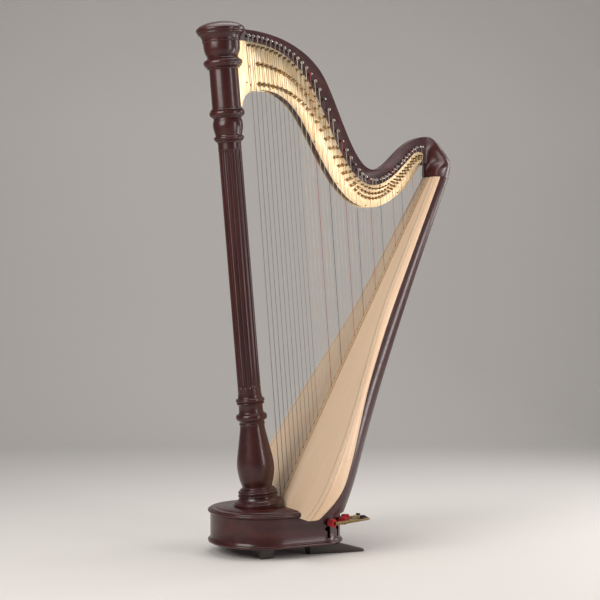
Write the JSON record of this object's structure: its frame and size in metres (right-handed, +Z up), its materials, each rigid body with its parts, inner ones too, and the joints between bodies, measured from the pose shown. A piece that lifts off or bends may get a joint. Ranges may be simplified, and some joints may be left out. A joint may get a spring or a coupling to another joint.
{
  "type": "concert pedal harp",
  "caption": "Concert pedal harp: leaning fluted column on a round base, curved neck with brass action plates, tapered soundbox, strings and pedals with felt sleeves.",
  "frame": {"origin": "on the floor, under the centre of the bounding box", "axes": "+X from the column towards the soundbox and the player, +Y towards the player's right, +Z up"},
  "size_m": [1.0286, 0.5866, 1.8796],
  "materials": {
    "mahogany_lacquer": "clear gloss lacquer over dark red mahogany",
    "maple_block": "bare hardwood inside the soundbox",
    "plate_brass": "brushed and lacquered brass plate",
    "spruce_board": "satin varnish over straight-grained spruce",
    "maple_rib": "satin varnish over maple",
    "maple_band": "satin varnish over maple",
    "bass_wire": "wire-wound string",
    "gut": "translucent gut and nylon string",
    "foot_wood": "dark stained hardwood",
    "rod_steel": "drawn steel rod",
    "cast_block": "painted casting",
    "pedal_metal": "cast pedal with a dark rubber tread",
    "red_felt": "pressed wool felt",
    "disc_brass": "turned fork disc"
  },
  "bodies": {
    "harp_frame": {"column_vase": "mahogany_lacquer", "column_shaft": "mahogany_lacquer", "column_collar": "mahogany_lacquer", "column_capital": "mahogany_lacquer", "neck": "mahogany_lacquer", "shoulder_cap": "mahogany_lacquer", "action_plate_left": "plate_brass", "action_plate_right": "plate_brass", "soundboard": "spruce_board", "string_rib": "maple_rib", "edge_band_left": "maple_band", "edge_band_right": "maple_band", "soundbox_shell": "mahogany_lacquer", "tail_block": "maple_block", "bass_wire_strings": "bass_wire", "gut_strings": "gut", "base_bottom_plate": "mahogany_lacquer", "base_drum": "mahogany_lacquer", "base_top_plate": "mahogany_lacquer", "foot_front_left": "foot_wood", "foot_front_right": "foot_wood", "foot_rear_left": "foot_wood", "foot_rear_right": "foot_wood", "pivot_rod": "rod_steel", "pivot_block": "cast_block"},
    "pedal_body_D": {"pedal_D": "pedal_metal", "pedal_felt_D": "red_felt"},
    "rod_body_D": {"pedal_rod_D": "rod_steel"},
    "pedal_body_C": {"pedal_C": "pedal_metal", "pedal_felt_C": "red_felt"},
    "rod_body_C": {"pedal_rod_C": "rod_steel"},
    "pedal_body_B": {"pedal_B": "pedal_metal", "pedal_felt_B": "red_felt"},
    "rod_body_B": {"pedal_rod_B": "rod_steel"},
    "pedal_body_E": {"pedal_E": "pedal_metal", "pedal_felt_E": "red_felt"},
    "rod_body_E": {"pedal_rod_E": "rod_steel"},
    "pedal_body_F": {"pedal_F": "pedal_metal", "pedal_felt_F": "red_felt"},
    "rod_body_F": {"pedal_rod_F": "rod_steel"},
    "pedal_body_G": {"pedal_G": "pedal_metal", "pedal_felt_G": "red_felt"},
    "rod_body_G": {"pedal_rod_G": "rod_steel"},
    "pedal_body_A": {"pedal_A": "pedal_metal", "pedal_felt_A": "red_felt"},
    "rod_body_A": {"pedal_rod_A": "rod_steel"},
    "natural_disc_C": {"disc_natural_C3": "disc_brass"},
    "sharp_disc_C": {"disc_sharp_C3": "disc_brass"},
    "natural_disc_D": {"disc_natural_D3": "disc_brass"},
    "sharp_disc_D": {"disc_sharp_D3": "disc_brass"},
    "natural_disc_E": {"disc_natural_E3": "disc_brass"},
    "sharp_disc_E": {"disc_sharp_E3": "disc_brass"},
    "natural_disc_F": {"disc_natural_F3": "disc_brass"},
    "sharp_disc_F": {"disc_sharp_F3": "disc_brass"},
    "natural_disc_G": {"disc_natural_G3": "disc_brass"},
    "sharp_disc_G": {"disc_sharp_G3": "disc_brass"},
    "natural_disc_A": {"disc_natural_A3": "disc_brass"},
    "sharp_disc_A": {"disc_sharp_A3": "disc_brass"},
    "natural_disc_B": {"disc_natural_B3": "disc_brass"},
    "sharp_disc_B": {"disc_sharp_B3": "disc_brass"}
  },
  "joints": [
    {"name": "pedal_D_press", "type": "hinge", "parent": "harp_frame", "child": "pedal_body_D", "pos_m": [-0.36674, 0, 0.118], "axis": [0, 1, 0], "range_deg": [0, 7.5]},
    {"name": "pedal_C_press", "type": "hinge", "parent": "harp_frame", "child": "pedal_body_C", "pos_m": [-0.36674, 0, 0.118], "axis": [0, 1, 0], "range_deg": [0, 7.5]},
    {"name": "pedal_B_press", "type": "hinge", "parent": "harp_frame", "child": "pedal_body_B", "pos_m": [-0.36674, 0, 0.118], "axis": [0, 1, 0], "range_deg": [0, 7.5]},
    {"name": "pedal_E_press", "type": "hinge", "parent": "harp_frame", "child": "pedal_body_E", "pos_m": [-0.36674, 0, 0.118], "axis": [0, 1, 0], "range_deg": [0, 7.5]},
    {"name": "pedal_F_press", "type": "hinge", "parent": "harp_frame", "child": "pedal_body_F", "pos_m": [-0.36674, 0, 0.118], "axis": [0, 1, 0], "range_deg": [0, 7.5]},
    {"name": "pedal_G_press", "type": "hinge", "parent": "harp_frame", "child": "pedal_body_G", "pos_m": [-0.36674, 0, 0.118], "axis": [0, 1, 0], "range_deg": [0, 7.5]},
    {"name": "pedal_A_press", "type": "hinge", "parent": "harp_frame", "child": "pedal_body_A", "pos_m": [-0.36674, 0, 0.118], "axis": [0, 1, 0], "range_deg": [0, 7.5]},
    {"name": "rod_D_slide", "type": "slide", "parent": "harp_frame", "child": "rod_body_D", "axis": [-0.0872, 0, 0.9962], "range_m": [-0.0117, 0]},
    {"name": "rod_C_slide", "type": "slide", "parent": "harp_frame", "child": "rod_body_C", "axis": [-0.0872, 0, 0.9962], "range_m": [-0.0117, 0]},
    {"name": "rod_B_slide", "type": "slide", "parent": "harp_frame", "child": "rod_body_B", "axis": [-0.0872, 0, 0.9962], "range_m": [-0.0117, 0]},
    {"name": "rod_E_slide", "type": "slide", "parent": "harp_frame", "child": "rod_body_E", "axis": [-0.0872, 0, 0.9962], "range_m": [-0.0117, 0]},
    {"name": "rod_F_slide", "type": "slide", "parent": "harp_frame", "child": "rod_body_F", "axis": [-0.0872, 0, 0.9962], "range_m": [-0.0117, 0]},
    {"name": "rod_G_slide", "type": "slide", "parent": "harp_frame", "child": "rod_body_G", "axis": [-0.0872, 0, 0.9962], "range_m": [-0.0117, 0]},
    {"name": "rod_A_slide", "type": "slide", "parent": "harp_frame", "child": "rod_body_A", "axis": [-0.0872, 0, 0.9962], "range_m": [-0.0117, 0]},
    {"name": "natural_disc_C_turn", "type": "hinge", "parent": "harp_frame", "child": "natural_disc_C", "pos_m": [-0.07795, -0.01618, 1.61616], "axis": [0, 1, 0], "range_deg": [0, 40]},
    {"name": "sharp_disc_C_turn", "type": "hinge", "parent": "harp_frame", "child": "sharp_disc_C", "pos_m": [-0.07361, -0.01601, 1.56657], "axis": [0, 1, 0], "range_deg": [0, 48]},
    {"name": "natural_disc_D_turn", "type": "hinge", "parent": "harp_frame", "child": "natural_disc_D", "pos_m": [-0.05939, -0.01547, 1.58928], "axis": [0, 1, 0], "range_deg": [0, 40]},
    {"name": "sharp_disc_D_turn", "type": "hinge", "parent": "harp_frame", "child": "sharp_disc_D", "pos_m": [-0.05527, -0.01531, 1.54223], "axis": [0, 1, 0], "range_deg": [0, 48]},
    {"name": "natural_disc_E_turn", "type": "hinge", "parent": "harp_frame", "child": "natural_disc_E", "pos_m": [-0.04053, -0.01475, 1.55761], "axis": [0, 1, 0], "range_deg": [0, 40]},
    {"name": "sharp_disc_E_turn", "type": "hinge", "parent": "harp_frame", "child": "sharp_disc_E", "pos_m": [-0.03666, -0.01461, 1.51332], "axis": [0, 1, 0], "range_deg": [0, 48]},
    {"name": "natural_disc_F_turn", "type": "hinge", "parent": "harp_frame", "child": "natural_disc_F", "pos_m": [-0.02154, -0.01403, 1.52292], "axis": [0, 1, 0], "range_deg": [0, 40]},
    {"name": "sharp_disc_F_turn", "type": "hinge", "parent": "harp_frame", "child": "sharp_disc_F", "pos_m": [-0.01792, -0.01389, 1.48152], "axis": [0, 1, 0], "range_deg": [0, 48]},
    {"name": "natural_disc_G_turn", "type": "hinge", "parent": "harp_frame", "child": "natural_disc_G", "pos_m": [-0.00257, -0.01331, 1.48713], "axis": [0, 1, 0], "range_deg": [0, 40]},
    {"name": "sharp_disc_G_turn", "type": "hinge", "parent": "harp_frame", "child": "sharp_disc_G", "pos_m": [0.00079, -0.01318, 1.44866], "axis": [0, 1, 0], "range_deg": [0, 48]},
    {"name": "natural_disc_A_turn", "type": "hinge", "parent": "harp_frame", "child": "natural_disc_A", "pos_m": [0.0162, -0.0126, 1.45211], "axis": [0, 1, 0], "range_deg": [0, 40]},
    {"name": "sharp_disc_A_turn", "type": "hinge", "parent": "harp_frame", "child": "sharp_disc_A", "pos_m": [0.01932, -0.01248, 1.41653], "axis": [0, 1, 0], "range_deg": [0, 48]},
    {"name": "natural_disc_B_turn", "type": "hinge", "parent": "harp_frame", "child": "natural_disc_B", "pos_m": [0.03465, -0.0119, 1.41939], "axis": [0, 1, 0], "range_deg": [0, 40]},
    {"name": "sharp_disc_B_turn", "type": "hinge", "parent": "harp_frame", "child": "sharp_disc_B", "pos_m": [0.03752, -0.01179, 1.38658], "axis": [0, 1, 0], "range_deg": [0, 48]}
  ],
  "couplings": [
    {"joint": "rod_D_slide", "follows": "pedal_D_press", "m_per_rad": -0.089},
    {"joint": "rod_C_slide", "follows": "pedal_C_press", "m_per_rad": -0.089},
    {"joint": "rod_B_slide", "follows": "pedal_B_press", "m_per_rad": -0.089},
    {"joint": "rod_E_slide", "follows": "pedal_E_press", "m_per_rad": -0.089},
    {"joint": "rod_F_slide", "follows": "pedal_F_press", "m_per_rad": -0.089},
    {"joint": "rod_G_slide", "follows": "pedal_G_press", "m_per_rad": -0.089},
    {"joint": "rod_A_slide", "follows": "pedal_A_press", "m_per_rad": -0.089},
    {"joint": "natural_disc_C_turn", "follows": "pedal_C_press", "ratio": 5.33},
    {"joint": "sharp_disc_C_turn", "follows": "pedal_C_press", "ratio": 6.39},
    {"joint": "natural_disc_D_turn", "follows": "pedal_D_press", "ratio": 5.33},
    {"joint": "sharp_disc_D_turn", "follows": "pedal_D_press", "ratio": 6.39},
    {"joint": "natural_disc_E_turn", "follows": "pedal_E_press", "ratio": 5.33},
    {"joint": "sharp_disc_E_turn", "follows": "pedal_E_press", "ratio": 6.39},
    {"joint": "natural_disc_F_turn", "follows": "pedal_F_press", "ratio": 5.33},
    {"joint": "sharp_disc_F_turn", "follows": "pedal_F_press", "ratio": 6.39},
    {"joint": "natural_disc_G_turn", "follows": "pedal_G_press", "ratio": 5.33},
    {"joint": "sharp_disc_G_turn", "follows": "pedal_G_press", "ratio": 6.39},
    {"joint": "natural_disc_A_turn", "follows": "pedal_A_press", "ratio": 5.33},
    {"joint": "sharp_disc_A_turn", "follows": "pedal_A_press", "ratio": 6.39},
    {"joint": "natural_disc_B_turn", "follows": "pedal_B_press", "ratio": 5.33},
    {"joint": "sharp_disc_B_turn", "follows": "pedal_B_press", "ratio": 6.39}
  ]
}
